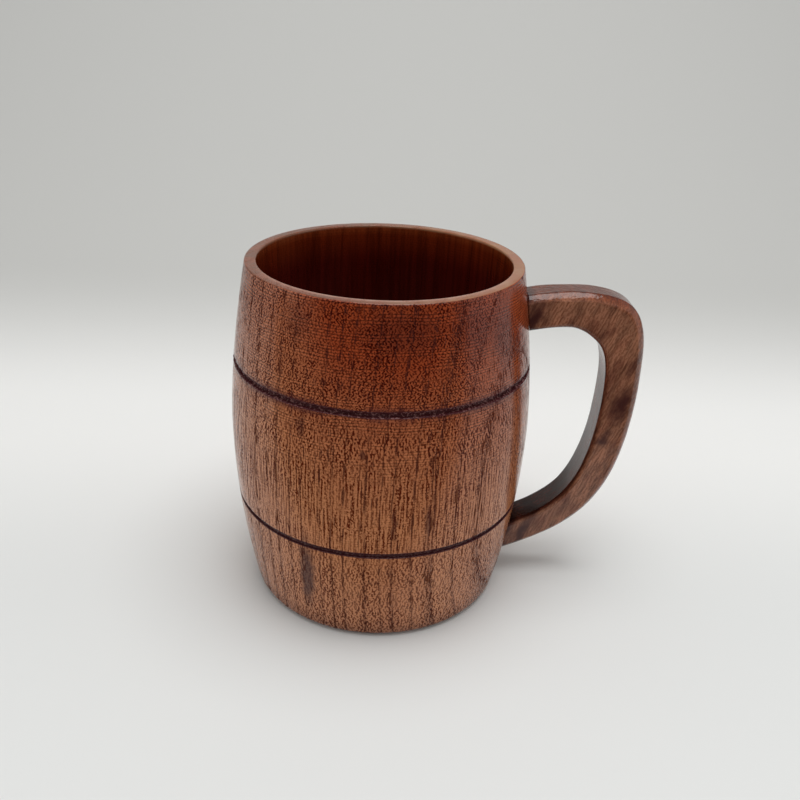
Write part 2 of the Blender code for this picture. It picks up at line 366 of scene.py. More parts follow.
def surface_marks(tree, *names):
    """Marks that the mesh carries on its points, each from 0 to 1."""
    marks = [add_node(tree, "ShaderNodeAttribute", {}, attribute_name=name) for name in names]
    return [mark.outputs["Fac"] for mark in marks]


FRAYS = (320, 320, 320)
FRAY_REACH = (0.003, 0.003, 0.0075)
SPOT_EDGES = (1.0, 0.25)


def frayed(tree, place):
    """A place pushed about a little, so that spots on it get ragged edges."""
    push = vector(tree, "SUBTRACT", cloud(tree, place, FRAYS, detail=3)["Color"], NOISE_MIDDLE)
    return vector(tree, "ADD", place, vector(tree, "MULTIPLY", push, FRAY_REACH))


def stain_spot(tree, colour, place, centre, sizes, strength, stain):
    """Colours in a dark spot round a centre, strongest in its middle and gone outside its half sizes."""
    offset = vector(tree, "DIVIDE", vector(tree, "SUBTRACT", place, centre), sizes)
    spot = ease(tree, vector(tree, "LENGTH", offset), *SPOT_EDGES)
    return blend(tree, times(tree, spot, strength), colour, stain)


BARREL_MARK_DEPTH = 0.007


def barrel_spots(tree, colour, place, spots, stain):
    """Colours in spots on the barrel, each (angle, height, half width, half height, strength)."""
    for angle, height, half_width, half_height, strength in spots:
        turn = math.radians(angle)
        radius = barrel_radius(height)
        centre = (radius * math.sin(turn), -radius * math.cos(turn), height)
        sizes = (half_width, BARREL_MARK_DEPTH, half_height)
        colour = stain_spot(tree, colour, place, centre, sizes, strength, stain)
    return colour


TURNING_FEED = 0.0008
FEED_WOBBLES = (60, 60, 180)
FEED_WOBBLE = 12
LINE_PATCHES = (70, 70, 490)
LINES_IN_PATCHES = (0.35, 0.6)
LINES_BY_HEIGHT = (0.052, 0.072, 0.3, 1)


def turning_lines(tree, place, height, open_wood):
    """The lines that the turning tool left, from -1 to 1, and how far they show, from 0 to 1."""
    wobble = times(tree, cloud(tree, place, FEED_WOBBLES, detail=1)["Fac"], FEED_WOBBLE)
    turns = calc(tree, "MULTIPLY_ADD", height, 2 * math.pi / TURNING_FEED, wobble)
    shown = ease(tree, cloud(tree, place, LINE_PATCHES)["Fac"], *LINES_IN_PATCHES)
    shown = times(tree, shown, ease(tree, height, *LINES_BY_HEIGHT), open_wood)
    return calc(tree, "SINE", turns), shown


PORE_GAP = 0.00025
LONG_PORES = (2350, 2350, 125)
CUT_PORES = (2350, 2350, 950)
TOP_PORES = (2500, 2500, 2200)
BARREL_GRIT = (2200, 2200, 1500)
GRIT_PUSH = 0.28
LONG_FROM = (0.026, 0.038)
LONG_TO = (0.066, 0.054)
LONG_ASIDE = (0.033, 0.041)
CUT_MOST = 0.95
CUT_LEAST = 0.2
TOP_FROM = (0.066, 0.08)
PORES_IN_PATCHES = (0.35, 0.6, 0.72, 1.05)
PORES_BY_HEIGHT = (0.03, 0.065, 0.92, 1.15)
LINES_OVER_PORES = 0.2
FILLED_BY_SIDE = (0.016, 0.032, 0, 0.35)
FILLED_BY_HEIGHT = (0.07, 0.085)


def barrel_pores(tree, place, fibres, patches, shown, open_wood):
    """The barrel's fine pores, from 0 to 1.

    They are long at the belly and at both sides, cut short elsewhere, and dots near the rim.
    """
    axes = apart(tree, place)
    height = axes["Z"]
    with_grain = times(tree, ease(tree, height, *LONG_FROM), ease(tree, height, *LONG_TO))
    at_sides = ease(tree, calc(tree, "ABSOLUTE", axes["X"]), *LONG_ASIDE)
    with_grain = calc(tree, "MAXIMUM", with_grain, at_sides)
    cut = calc(tree, "MULTIPLY_ADD", with_grain, CUT_LEAST - CUT_MOST, CUT_MOST)
    near_rim = times(tree, ease(tree, height, *TOP_FROM), cut)
    round_barrel = vector(tree, "NORMALIZE", vector(tree, "CROSS_PRODUCT", (0, 0, 1), place))
    aside = vector(tree, "MULTIPLY", round_barrel, (PORE_GAP, PORE_GAP, PORE_GAP))
    grit = wood_grit(tree, fibres, BARREL_GRIT, GRIT_PUSH)
    sizes = (LONG_PORES, CUT_PORES, TOP_PORES)
    long, short, dots = (pores(tree, fibres, aside, grit, size) for size in sizes)
    fine = between_values(tree, cut, long, short)
    fine = between_values(tree, near_rim, fine, dots)
    by_patch = ease(tree, patches, *PORES_IN_PATCHES)
    by_line = calc(tree, "MULTIPLY_ADD", shown, -LINES_OVER_PORES, 1)
    by_height = ease(tree, height, *PORES_BY_HEIGHT)
    filled = times(tree, ease(tree, axes["X"], *FILLED_BY_SIDE), ease(tree, height, *FILLED_BY_HEIGHT))
    open_pores = calc(tree, "SUBTRACT", open_wood, filled)
    return times(tree, fine, by_patch, by_line, by_height, open_pores)


BARREL_AMBER = (0.54, 0.218, 0.096, 1)
BARREL_RUSSET = (0.285, 0.048, 0.013, 1)
STAIN_SHARE = 0.6
RUSSET_BY_HEIGHT = (0.03, 0.108, -0.26, 0.78)
PALER_BY_SIDE = (-0.008, -0.032, 0, 0.5)


def stained_wood(tree, axes, stain, open_wood):
    """The barrel's ground colour, amber below, russet above, and paler on the side off the handle."""
    russet = calc(tree, "MULTIPLY_ADD", stain, STAIN_SHARE, ease(tree, axes["Z"], *RUSSET_BY_HEIGHT))
    paler = times(tree, ease(tree, axes["X"], *PALER_BY_SIDE), open_wood)
    russet = calc(tree, "SUBTRACT", russet, paler)
    return blend(tree, calc(tree, "MAXIMUM", russet, 0), BARREL_AMBER, BARREL_RUSSET)


LIP_BROWN = (0.15, 0.055, 0.028, 1)
# The tan is a painted reflection on the handle's side, the pale a painted highlight at the lip's inner
# edge in front.
LIP_PAINTED_REFLECTION = (0.31, 0.140, 0.066, 1)
LIP_PAINTED_HIGHLIGHT = (0.40, 0.21, 0.15, 1)
REFLECTION_BY_SIDE = (-0.02, 0.034)
HIGHLIGHT_INWARD = (0.0388, 0.0370)
HIGHLIGHT_FORWARD = (-0.01, -0.032)
WORN_IN_PATCHES = (0.35, 0.65, 1, 0.6)


def lip_wear_and_painted_light(tree, colour, place, lip, patches):
    """Wears the lip to a browner wood, with a painted reflection that turns it tan on the handle's side
    and a painted highlight pale at its inner edge in front.
    """
    axes = apart(tree, place)
    from_axis = vector(tree, "LENGTH", vector(tree, "MULTIPLY", place, (1, 1, 0)))
    # painted highlight along the inner edge of the lip in front
    lip_highlight = ease(tree, from_axis, *HIGHLIGHT_INWARD)
    lip_highlight = times(tree, lip_highlight, ease(tree, axes["Y"], *HIGHLIGHT_FORWARD))
    # painted reflection: the lip turns tan towards the handle's side
    lip_colour = blend(tree, ease(tree, axes["X"], *REFLECTION_BY_SIDE), LIP_BROWN, LIP_PAINTED_REFLECTION)
    lip_colour = blend(tree, lip_highlight, lip_colour, LIP_PAINTED_HIGHLIGHT)
    return blend(tree, times(tree, lip, ease(tree, patches, *WORN_IN_PATCHES)), colour, lip_colour)


# Painted shade in the hollow, partly thicker stain: darkest deep down and lightest just under the lip.
HOLLOW_PAINTED_SHADE = (0.19, 0.07, 0.12, 1)
HOLLOW_TOP_PAINTED_SHADE = (0.42, 0.30, 0.22, 1)
HOLLOW_RIM_PAINTED_SHADE = (0.62, 0.64, 0.64, 1)
BORE_TOP = (0.092, 0.1045)
BORE_EDGE = (0.1015, 0.1045)
BORE_STREAKS = (700, 700, 25)
BORE_STREAK_TONES = (0.35, 0.65, 0.78, 1.2)


def stained_and_shaded_hollow(tree, colour, place, height, bored):
    """Darkens the hollow, partly with thicker stain and partly with painted shade that deepens low down
    and lifts near the lip, and in streaks.
    """
    # painted shade, partly stain, deepening down the hollow and lifting near the lip
    tint = blend(tree, ease(tree, height, *BORE_TOP), HOLLOW_PAINTED_SHADE, HOLLOW_TOP_PAINTED_SHADE)
    tint = blend(tree, ease(tree, height, *BORE_EDGE), tint, HOLLOW_RIM_PAINTED_SHADE)
    streaks = cloud(tree, place, BORE_STREAKS, detail=3)["Fac"]
    tint = shade(tree, 1, tint, ease(tree, streaks, *BORE_STREAK_TONES))
    return shade(tree, bored, colour, tint)


GROOVE_PLUM = (0.060, 0.014, 0.016, 1)
# The pale mauve splinters are torn wood and painted glints.
SPLINTER_AND_GLINT_MAUVE = (0.19, 0.085, 0.08, 1)
SPLINTERS = (1500, 1500, 1500)
SPLINTER_EDGES = (0.52, 0.64)
GROOVE_EDGES = (0, 0.3)


def groove_wood(tree, colour, place, torn):
    """Fills the grooves with dark stain, and lets pale splinters of torn wood show through it, painted
    lighter as glints.
    """
    splinters_and_glints = ease(tree, cloud(tree, place, SPLINTERS, detail=1)["Fac"], *SPLINTER_EDGES)
    # splinters of torn wood, lightened as painted glints
    groove_colour = blend(tree, times(tree, splinters_and_glints, torn), GROOVE_PLUM, SPLINTER_AND_GLINT_MAUVE)
    return blend(tree, ease(tree, torn, *GROOVE_EDGES), colour, groove_colour)


BLEED_REACH = (0.003, 0.0008)
BLEED_IN_STAIN = (0.42, 0.6, 0, 0.7)


def groove_bleed(tree, colour, height, stain, bored):
    """Lets the dark stain of the upper groove run out into the wood beside it here and there."""
    off_groove = calc(tree, "ABSOLUTE", calc(tree, "SUBTRACT", height, UPPER_GROOVE))
    bleed = times(tree, ease(tree, off_groove, *BLEED_REACH), ease(tree, stain, *BLEED_IN_STAIN))
    return blend(tree, times(tree, bleed, calc(tree, "SUBTRACT", 1, bored)), colour, GROOVE_PLUM)


GRAIN_LEAN = (-math.tan(math.radians(0.6)), 0.04, 0)
BARREL_PITH = (0.26, -0.15, 0)
BARREL_RING = 0.0043
BARREL_SWAY = 0.0012
BARREL_PATCHES = (170, 170, 85)
BARREL_STAIN = (45, 45, 15.75)
LARGE_PORES = (2500, 2500, 150)
LARGE_RARITY = 0.71
LARGE_CROWDING = 0.29
LARGE_TONE = 0.7
LIP_FILLED = 0.4
BORE_FILLED = 0.8
STAIN_PLUM = (0.090, 0.014, 0.008, 1)
PORE_SHADE = (0.18, 0.06, 0.03, 1)
PORE_BROWN = (0.046, 0.010, 0.008, 1)
# Painted shade towards the foot where it meets the floor, partly darker stain.
FOOT_PAINTED_SHADE = (0.50, 0.45, 0.50, 1)
FOOT_FADE = (0.009, 0.0, 0, 0.7)
RINGS_BY_HEIGHT = (0.026, 0.04, 0.55, 0.27)
LINE_TONES = (-1, 0.1, 0.5, 1.2)
STAIN_PATCHES = (
    (8, 0.0980, 0.0170, 0.0090, 0.55),
    (-32.6, 0.0975, 0.0045, 0.0070, 0.35),
    (35, 0.0970, 0.0120, 0.0110, 0.5),
    (50, 0.0940, 0.0100, 0.0130, 0.55),
)
DARK_STREAKS = (
    (-27.4, 0.0215, 0.0032, 0.0200, 0.85),
    (-5.1, 0.0652, 0.0012, 0.0018, 0.7),
    (-28.2, 0.0706, 0.0024, 0.0045, 0.5),
    (6.2, 0.0437, 0.0011, 0.0090, 0.6),
    (17.9, 0.0432, 0.0011, 0.0080, 0.6),
)
BARREL_RELIEF = 0.00004
PORE_RELIEF = 0.5
LINE_RELIEF = 0.3
BARREL_ROUGHNESS = (0, 1, 0.4, 0.7)
FILM_OFF_LARGE = 0.9
FILM_OFF_TORN = 0.7
FILM_BY_PORES = (0.3, 1, 1, 0.4)


def barrel_finish():
    """The barrel's finish: stained open-pored wood with tool lines and marks, under clear lacquer."""
    material, tree, place = new_finish("lacquered_barrel_wood")
    axes = apart(tree, place)
    height = axes["Z"]
    bored, lip, torn = surface_marks(tree, "bored", "lip", "torn")
    lean = add_node(tree, "ShaderNodeVectorMath", {0: GRAIN_LEAN, "Scale": height}, operation="SCALE")
    grown = vector(tree, "ADD", place, lean.outputs[0])
    rings, fibres = year_rings(tree, grown, BARREL_PITH, BARREL_RING, BARREL_SWAY)
    patches = cloud(tree, grown, BARREL_PATCHES)["Fac"]
    stain = cloud(tree, grown, BARREL_STAIN, detail=3)["Fac"]
    open_wood = calc(tree, "MULTIPLY_ADD", lip, -LIP_FILLED, 1)
    open_wood = calc(tree, "MULTIPLY_ADD", bored, -BORE_FILLED, open_wood)
    line, shown = turning_lines(tree, place, height, open_wood)
    fine = barrel_pores(tree, place, fibres, patches, shown, open_wood)
    large = vessels(tree, fibres, LARGE_PORES, rings, LARGE_RARITY, LARGE_CROWDING)
    large = times(tree, large, open_wood)
    ragged = frayed(tree, place)
    colour = stained_wood(tree, axes, stain, open_wood)
    colour = barrel_spots(tree, colour, ragged, STAIN_PATCHES, STAIN_PLUM)
    colour = shade(tree, fine, colour, PORE_SHADE)
    colour = shade(tree, times(tree, rings, ease(tree, height, *RINGS_BY_HEIGHT)), colour, PORE_SHADE)
    colour = blend(tree, times(tree, large, LARGE_TONE), colour, PORE_BROWN)
    colour = shade(tree, shown, colour, ease(tree, line, *LINE_TONES))
    colour = barrel_spots(tree, colour, ragged, DARK_STREAKS, PORE_BROWN)
    # painted shade near the floor, partly darker stain on the foot
    colour = shade(tree, ease(tree, height, *FOOT_FADE), colour, FOOT_PAINTED_SHADE)
    colour = groove_bleed(tree, colour, height, stain, bored)
    colour = lip_wear_and_painted_light(tree, colour, place, lip, patches)
    colour = stained_and_shaded_hollow(tree, colour, place, height, bored)
    colour = groove_wood(tree, colour, place, torn)
    relief = calc(tree, "MULTIPLY_ADD", fine, -PORE_RELIEF, times(tree, large, -1))
    relief = calc(tree, "MULTIPLY_ADD", times(tree, line, shown), LINE_RELIEF, relief)
    rough = ease(tree, fine, *BARREL_ROUGHNESS)
    film_weight = calc(tree, "MULTIPLY_ADD", large, -FILM_OFF_LARGE, 1)
    film_weight = calc(tree, "MULTIPLY_ADD", torn, -FILM_OFF_TORN, film_weight)
    film_weight = times(tree, film_weight, ease(tree, fine, *FILM_BY_PORES))
    lacquered(material, colour, rough, film_weight, relief, BARREL_RELIEF)
    return material


def turned_body():
    """The barrel as one closed mesh, turned from its section and torn in its grooves."""
    runs = cup_section()
    points = [point for run, marks in runs for point in run]
    mesh = bpy.data.meshes.new("wooden_barrel")
    mesh.from_pydata([(r, 0, z) for r, z in points], [(i, i + 1) for i in range(len(points) - 1)], [])
    for name in ("bored", "lip", "torn"):
        values = [marks.get(name, 0) for run, marks in runs for point in run]
        mesh.attributes.new(name, "FLOAT", "POINT").data.foreach_set("value", values)
    body = bpy.data.objects.new("wooden_barrel", mesh)
    bpy.context.scene.collection.objects.link(body)
    tree = turning_tree()
    turning = body.modifiers.new("turning", "NODES")
    turning.node_group = tree
    values = {
        "Steps Round": STEPS_ROUND,
        "Tear Depth": TEAR_DEPTH,
        "Tears per Metre": TEARS_PER_METRE,
        "Seed": TEAR_SEED,
        "Finish": barrel_finish(),
    }
    for item in tree.interface.items_tree:
        if item.name in values:
            turning[item.identifier] = values[item.name]
    graph = bpy.context.evaluated_depsgraph_get()
    result = bpy.data.meshes.new_from_object(
        body.evaluated_get(graph), preserve_all_data_layers=True, depsgraph=graph
    )
    body.modifiers.clear()
    body.data = result
    shape = bmesh.new()
    shape.from_mesh(result)
    bmesh.ops.recalc_face_normals(shape, faces=shape.faces)
    shape.to_mesh(result)
    shape.free()
    return body


body = turned_body()
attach(body, "root")
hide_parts("cup_body")

# Handle: sawn from a board of the same timber with the grain running aslant, arrises rounded by
# hand. Both ends are coped to the barrel, dowelled and glued, and it is lacquered with the cup.
handle_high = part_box("handle")[1]
HANDLE_HALF = handle_high.y
HANDLE_TOP = handle_high.z
GRIP_OUTER = handle_high.x - 0.00004
GRIP_INNER = GRIP_OUTER - 0.0109
CREST = BELLY_RADIUS + 0.0095
UNDER_ARM = HANDLE_TOP - 0.0107
ARM_RISE = 0.0026
GRIP_HEIGHT = HANDLE_TOP - 0.0298
HANDLE_RISE = 0.007
LOWER_ARM_DEPTH = 0.0104
OUTER_SHOULDER = (GRIP_OUTER - 0.0045, HANDLE_TOP - 0.005, -49)
INNER_SHOULDER = (GRIP_INNER - 0.0035, UNDER_ARM - 0.0048, -47)
OUTER_SWEEP = (GRIP_OUTER - 0.0088, 0.0283, -122)
INNER_SWEEP = (GRIP_INNER - 0.0081, 0.0315, -125)
UPPER_ARM_HEADING = 14
CREST_HEADING = 0
GRIP_HEADING = -90
LOWER_ARM_HEADING = -162
BEND_REACH = 0.31
COPING_ALLOWANCE = 0.004
COPING_SEARCH = 0.15
COPING_TRIES = 30
GLUE_LINE = 0.0001
HANDLE_ROWS = 200
ARRIS_RADIUS = 0.0023
INNER_ARRIS_SHARE = 0.5
ARRIS_STEPS = 7
ARRIS_FLATNESS = 0.65
ARRIS_WAVES = 11
ARRIS_UNEVENNESS = 0.2
FLAT_SHARES = (0.06, 0.35, 0.65, 0.94)
WEAR = 0.00022
WEAR_MEAN = 0.5
WEAR_WAVES = ((110, 0.35), (420, 0.15))
ROOT_SHARE = 0.06
HANDLE_GRAIN = math.radians(68)


def handle_edges():
    """The sawn outline's outer and inner edges from the upper root to the lower, as (x, z, heading)."""
    upper_root = barrel_radius(HANDLE_TOP) - COPING_ALLOWANCE
    lower_root = barrel_radius(HANDLE_RISE) - COPING_ALLOWANCE
    outer = [
        (upper_root, HANDLE_TOP - ARM_RISE, UPPER_ARM_HEADING),
        (CREST, HANDLE_TOP, CREST_HEADING),
        OUTER_SHOULDER,
        (GRIP_OUTER, GRIP_HEIGHT, GRIP_HEADING),
        OUTER_SWEEP,
        (lower_root, HANDLE_RISE, LOWER_ARM_HEADING),
    ]
    inner = [
        (upper_root, UNDER_ARM - ARM_RISE, UPPER_ARM_HEADING),
        (CREST, UNDER_ARM, CREST_HEADING),
        INNER_SHOULDER,
        (GRIP_INNER, GRIP_HEIGHT, GRIP_HEADING),
        INNER_SWEEP,
        (lower_root, HANDLE_RISE + LOWER_ARM_DEPTH, LOWER_ARM_HEADING),
    ]
    return outer, inner


def along_edge(edge, share):
    """The point (x, z) at a share of the way along an edge, each bend of it counted alike."""
    run = min(share * (len(edge) - 1), len(edge) - 1 - 1e-9)
    first, last = edge[int(run)], edge[int(run) + 1]
    t = run - int(run)
    reach = BEND_REACH * math.dist(first[:2], last[:2])
    turn_first, turn_last = math.radians(first[2]), math.radians(last[2])
    point = []
    for axis, wave in ((0, math.cos), (1, math.sin)):
        a = first[axis]
        b = a + reach * wave(turn_first)
        d = last[axis]
        c = d - reach * wave(turn_last)
        point.append(a * (1 - t) ** 3 + 3 * b * t * (1 - t) ** 2 + 3 * c * t * t * (1 - t) + d * t**3)
    return point


def between(first, last, share):
    """The point at a share of the way between two points."""
    return tuple(a + (b - a) * share for a, b in zip(first, last))


def arris_section(width, thickness, radius):
    """Points (across, y) round a board, across from its inner edge.

    Its arrises are taken off by hand, part way between a round and a chamfer, the inner ones less.
    """
    half_width, half = width / 2, thickness / 2
    inner = INNER_ARRIS_SHARE * radius
    corners = (
        (half_width - radius, half - radius, 0, radius),
        (inner - half_width, half - inner, 90, inner),
        (inner - half_width, inner - half, 180, inner),
        (half_width - radius, radius - half, 270, radius),
    )
    arrises = [arc((x, y), size, turn, turn + 90, ARRIS_STEPS) for x, y, turn, size in corners]
    points = []
    for index, arris in enumerate(arrises):
        for step, point in enumerate(arris):
            chamfer = between(arris[0], arris[-1], step / ARRIS_STEPS)
            points.append(between(point, chamfer, ARRIS_FLATNESS))
        points += [between(arris[-1], arrises[(index + 1) % 4][0], share) for share in FLAT_SHARES]
    return [(across + half_width, y) for across, y in points]


def handle_point(edges, share, index):
    """One point of the handle's skin, and its share of the way from the inner edge to the outer."""
    outer, inner = along_edge(edges[0], share), along_edge(edges[1], share)
    width = math.dist(outer, inner)
    wave = noise.noise(Vector((ARRIS_WAVES * share, 0.5, 0.5)))
    radius = ARRIS_RADIUS * (1 + ARRIS_UNEVENNESS * wave)
    across, y = arris_section(width, 2 * HANDLE_HALF, radius)[index]
    x, z = between(inner, outer, across / width)
    return Vector((x, y, z)), across / width


def outside_barrel(point):
    """How far a point stands off the barrel's side, less the glue line."""
    return math.hypot(point.x, point.y) - barrel_radius(point.z) - GLUE_LINE


def coped_share(edges, index, inside, outside):
    """The share of the length at which one line along the handle meets the barrel."""
    for _ in range(COPING_TRIES):
        middle = (inside + outside) / 2
        if outside_barrel(handle_point(edges, middle, index)[0]) < 0:
            inside = middle
        else:
            outside = middle
    return outside


def sawn_handle():
    """The handle as one closed mesh, with its coped ends, its worn skin and its marks."""
    edges = handle_edges()
    count = len(arris_section(1, 1, 0.1))
    starts = [coped_share(edges, index, 0, COPING_SEARCH) for index in range(count)]
    ends = [coped_share(edges, index, 1, 1 - COPING_SEARCH) for index in range(count)]
    shape = bmesh.new()
    rows = []
    roots = []
    outwards = []
    for row in range(HANDLE_ROWS + 1):
        part = row / HANDLE_ROWS
        shares = [start + (end - start) * part for start, end in zip(starts, ends)]
        skin = [handle_point(edges, share, index) for index, share in enumerate(shares)]
        rows.append([shape.verts.new(point) for point, outward in skin])
        roots += [max(0, 1 - min(part, 1 - part) / ROOT_SHARE)] * count
        outwards += [outward for point, outward in skin]
    for first, second in zip(rows, rows[1:]):
        for index in range(count):
            after = (index + 1) % count
            shape.faces.new((first[index], first[after], second[after], second[index]))
    for row in (rows[0], rows[-1]):
        middle = sum((vert.co for vert in row), Vector()) / count
        middle.x -= outside_barrel(middle)
        centre = shape.verts.new(middle)
        roots.append(1)
        outwards.append(0.5)
        for index in range(count):
            shape.faces.new((row[index], row[(index + 1) % count], centre))
    bmesh.ops.recalc_face_normals(shape, faces=shape.faces)
    shape.normal_update()
    for vert, root in zip(shape.verts, roots):
        waves = [size * noise.noise(vert.co * per_metre) for per_metre, size in WEAR_WAVES]
        vert.co -= vert.normal * WEAR * (WEAR_MEAN + sum(waves)) * (1 - root)
    mesh = bpy.data.meshes.new("sawn_handle")
    shape.to_mesh(mesh)
    shape.free()
    mesh.shade_smooth()
    grain = Vector((math.cos(HANDLE_GRAIN), 0, math.sin(HANDLE_GRAIN)))
    end_grain = [abs(normal.vector.dot(grain)) for normal in mesh.vertex_normals]
    for name, values in (("root", roots), ("outward", outwards), ("end_grain", end_grain)):
        mesh.attributes.new(name, "FLOAT", "POINT").data.foreach_set("value", values)
    handle = bpy.data.objects.new("sawn_handle", mesh)
    bpy.context.scene.collection.objects.link(handle)
    return handle


HANDLE_TAN = (0.30, 0.128, 0.072, 1)
HANDLE_BROWN = (0.215, 0.088, 0.050, 1)
HANDLE_ORANGE = (0.20, 0.042, 0.010, 1)
HANDLE_STAIN = (110, 110, 44)
HANDLE_MOTTLE = (270, 270, 135)
HANDLE_PATCHES = (480, 480, 144)
BROWN_IN_STAIN = (0.35, 0.65)
ORANGE_OUTWARD = (0.76, 0.95, 0, 0.85)
PLUM_IN_MOTTLE = (0.5, 0.68, 0, 0.4)
PATCH_TONES = (0.3, 0.7, 0.78, 1.25)


def handle_wood(tree, grown, outward, mottle):
    """The handle's ground colour, tan and brown, oranger on its back and mottled with dark stain."""
    stain = cloud(tree, grown, HANDLE_STAIN, detail=3)["Fac"]
    patches = cloud(tree, grown, HANDLE_PATCHES, detail=3, roughness=0.6)["Fac"]
    colour = blend(tree, ease(tree, stain, *BROWN_IN_STAIN), HANDLE_TAN, HANDLE_BROWN)
    colour = blend(tree, ease(tree, outward, *ORANGE_OUTWARD), colour, HANDLE_ORANGE)
    colour = blend(tree, ease(tree, mottle, *PLUM_IN_MOTTLE), colour, STAIN_PLUM)
    return shade(tree, 1, colour, ease(tree, patches, *PATCH_TONES))


HANDLE_MARK_DEPTH = 0.02
HANDLE_MARKS = (
    (0.0732, 0.0633, 0.0046, 0.0095, 1.0),
    (0.0752, 0.0766, 0.0026, 0.0070, 0.75),
    (0.0690, 0.0511, 0.0034, 0.0046, 0.9),
    (0.0642, 0.0855, 0.0030, 0.0045, 0.45),
    (0.0437, 0.0897, 0.0031, 0.0085, 1.0),
    (0.0472, 0.0165, 0.0024, 0.0135, 1.0),
)


def handle_spots(tree, colour, grown):
    """Colours in dark marks on the handle, each (x, z, half width, half length, strength)."""
    run, rise = math.cos(HANDLE_GRAIN), math.sin(HANDLE_GRAIN)
    ragged = frayed(tree, grown)
    for x, z, half_width, half_length, strength in HANDLE_MARKS:
        centre = (x * rise - z * run, 0, x * run + z * rise)
        sizes = (half_width, HANDLE_MARK_DEPTH, half_length)
        colour = stain_spot(tree, colour, ragged, centre, sizes, strength, PORE_BROWN)
    return colour


INNER_SHADE = (0.70, 0.58, 0.58, 1)
INNER_DARK = (0.16, 0.08, 0.08, 1)
INNER_BY_HEIGHT = (0.02, 0.08)
SAW_MARKS = (90, 1900, 90)
SAW_MARK_TONES = (0.35, 0.65, 0.55, 1.45)


def inner_face(tree, colour, place, height, inner):
    """Darkens the face towards the barrel, most near the foot, and leaves the saw's marks on it."""
    tint = blend(tree, ease(tree, height, *INNER_BY_HEIGHT), INNER_DARK, INNER_SHADE)
    saw_marks = cloud(tree, place, SAW_MARKS, detail=1)["Fac"]
    tint = shade(tree, 1, tint, ease(tree, saw_marks, *SAW_MARK_TONES))
    return shade(tree, inner, colour, tint)


HANDLE_PITH = (0.14, 0.03, 0)
HANDLE_RING = 0.0055
HANDLE_SWAY = 0.003
HANDLE_PORES = (2700, 2700, 450)
HANDLE_GRIT = (2300, 2300, 1300)
HANDLE_GRIT_PUSH = 0.3
HANDLE_LARGE_PORES = (2200, 2200, 160)
HANDLE_LARGE_RARITY = 0.7
HANDLE_LARGE_CROWDING = 0.2
HANDLE_PORE_SHADE = (0.34, 0.20, 0.14, 1)
HANDLE_PORE_TONE = 0.5
HANDLE_RING_TONE = 0.2
HANDLE_LARGE_TONE = 0.4
GLUED_ROOT = (0.35, 0.95)
GLUE_IN_MOTTLE = (0.35, 0.6, 0.4, 1)
INNER_EDGE = (0.1, 0.02)
END_GRAIN_SHADE = (0.62, 0.50, 0.50, 1)
END_GRAIN_EDGE = (0.6, 0.95)
HANDLE_ROUGHNESS = (0, 1, 0.4, 0.65)
DULL_BY_HEIGHT = (0.012, 0.036, 0.55, 0)
ARRIS_FROM = (0.74, 0.82)
LACQUER_WAVES = (750, 750, 750)
LACQUER_WAVE_RELIEF = 8
HANDLE_RELIEF = 0.00003


def handle_finish():
    """The handle's finish: brown open-pored wood with dark marks and glue, under clear lacquer."""
    material, tree, place = new_finish("lacquered_handle_wood")
    run, rise = math.cos(HANDLE_GRAIN), math.sin(HANDLE_GRAIN)
    across = vector(tree, "DOT_PRODUCT", place, (rise, 0, -run))
    along = vector(tree, "DOT_PRODUCT", place, (run, 0, rise))
    axes = apart(tree, place)
    height = axes["Z"]
    turned = {"X": across, "Y": axes["Y"], "Z": along}
    grown = add_node(tree, "ShaderNodeCombineXYZ", turned).outputs[0]
    root, outward, end_grain = surface_marks(tree, "root", "outward", "end_grain")
    rings, fibres = year_rings(tree, grown, HANDLE_PITH, HANDLE_RING, HANDLE_SWAY)
    grit = wood_grit(tree, fibres, HANDLE_GRIT, HANDLE_GRIT_PUSH)
    fine = pores(tree, fibres, (PORE_GAP, 0, 0), grit, HANDLE_PORES)
    large = vessels(tree, fibres, HANDLE_LARGE_PORES, rings, HANDLE_LARGE_RARITY, HANDLE_LARGE_CROWDING)
    mottle = cloud(tree, grown, HANDLE_MOTTLE)["Fac"]
    colour = handle_wood(tree, grown, outward, mottle)
    colour = shade(tree, times(tree, fine, HANDLE_PORE_TONE), colour, HANDLE_PORE_SHADE)
    colour = shade(tree, times(tree, rings, HANDLE_RING_TONE), colour, HANDLE_PORE_SHADE)
    colour = shade(tree, times(tree, large, HANDLE_LARGE_TONE), colour, HANDLE_PORE_SHADE)
    colour = handle_spots(tree, colour, grown)
    glued = times(tree, ease(tree, root, *GLUED_ROOT), ease(tree, mottle, *GLUE_IN_MOTTLE))
    colour = blend(tree, glued, colour, PORE_BROWN)
    inner = ease(tree, outward, *INNER_EDGE)
    colour = inner_face(tree, colour, place, height, inner)
    colour = shade(tree, ease(tree, end_grain, *END_GRAIN_EDGE), colour, END_GRAIN_SHADE)
    rough = ease(tree, fine, *HANDLE_ROUGHNESS)
    dull = times(tree, inner, ease(tree, height, *DULL_BY_HEIGHT))
    film_weight = calc(tree, "SUBTRACT", 1, dull)
    waves = cloud(tree, place, LACQUER_WAVES, detail=1)["Fac"]
    waves = times(tree, ease(tree, outward, *ARRIS_FROM), waves)
    relief = calc(tree, "MULTIPLY_ADD", waves, LACQUER_WAVE_RELIEF, times(tree, fine, -PORE_RELIEF))
    lacquered(material, colour, rough, film_weight, relief, HANDLE_RELIEF)
    return material


handle = sawn_handle()
handle.data.materials.append(handle_finish())
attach(handle, "root")
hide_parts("handle")

# Dowels: two short pegs of bare pale wood, glued into blind holes in the barrel and the handle's
# ends. They stay hidden in the joints, so the solids of the model serve as they are.
DOWEL_PALE = (0.52, 0.36, 0.20, 1)
DOWEL_DARK = (0.36, 0.22, 0.11, 1)
DOWEL_STREAKS = (60, 1500, 1500)
DARK_IN_STREAKS = (0.35, 0.65)
DOWEL_ROUGHNESS = 0.65


